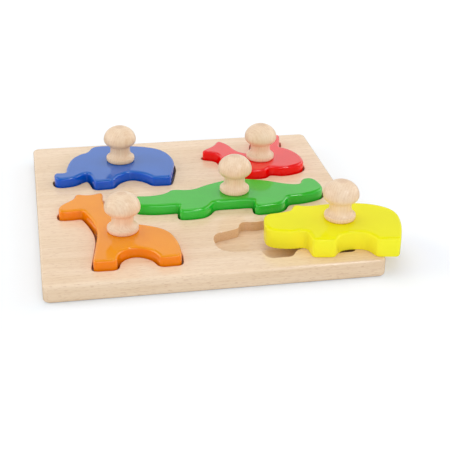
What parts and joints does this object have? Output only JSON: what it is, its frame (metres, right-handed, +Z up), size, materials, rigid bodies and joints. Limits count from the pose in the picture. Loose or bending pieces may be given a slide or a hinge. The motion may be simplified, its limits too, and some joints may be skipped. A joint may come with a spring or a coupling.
{
  "type": "peg puzzle",
  "caption": "Square wooden board with routed animal-shaped pockets and thick lacquered animal pieces that lift out by turned mushroom knobs, with a piece lying beside its empty pocket.",
  "frame": {"origin": "centre of the board's underside", "axes": "+Z up through the board, +X to the right along its front edge, +Y to its back edge"},
  "size_m": [0.2436, 0.225, 0.0543],
  "materials": {
    "board_beech": "clear matt oil on fine-sanded solid beech, grain along X",
    "knob_beech": "clear matt oil on turned beech, grain along the knob's axis",
    "blue_lacquer": "smooth gloss lacquer, blue",
    "red_lacquer": "smooth gloss lacquer, red",
    "green_lacquer": "smooth gloss lacquer, green",
    "orange_lacquer": "smooth gloss lacquer, orange",
    "yellow_lacquer": "smooth gloss lacquer, yellow",
    "screw_steel": "bright zinc-plated steel"
  },
  "bodies": {
    "board": {"board": "board_beech"},
    "elephant": {"elephant_slab": "blue_lacquer", "elephant_knob": "knob_beech", "elephant_screw": "screw_steel"},
    "fish": {"fish_slab": "red_lacquer", "fish_knob": "knob_beech", "fish_screw": "screw_steel"},
    "crocodile": {"crocodile_slab": "green_lacquer", "crocodile_knob": "knob_beech", "crocodile_screw": "screw_steel"},
    "giraffe": {"giraffe_slab": "orange_lacquer", "giraffe_knob": "knob_beech", "giraffe_screw": "screw_steel"},
    "hippo": {"hippo_slab": "yellow_lacquer", "hippo_knob": "knob_beech", "hippo_screw": "screw_steel"}
  },
  "joints": [
    {"name": "elephant_lift", "type": "slide", "parent": "board", "child": "elephant", "axis": [0, 0, 1], "range_m": [0, 0.06]},
    {"name": "fish_lift", "type": "slide", "parent": "board", "child": "fish", "axis": [0, 0, 1], "range_m": [0, 0.06]},
    {"name": "crocodile_lift", "type": "slide", "parent": "board", "child": "crocodile", "axis": [0, 0, 1], "range_m": [0, 0.06]},
    {"name": "giraffe_lift", "type": "slide", "parent": "board", "child": "giraffe", "axis": [0, 0, 1], "range_m": [0, 0.06]},
    {"name": "hippo_lift", "type": "slide", "parent": "board", "child": "hippo", "axis": [0, 0, 1], "range_m": [0, 0.06]}
  ]
}
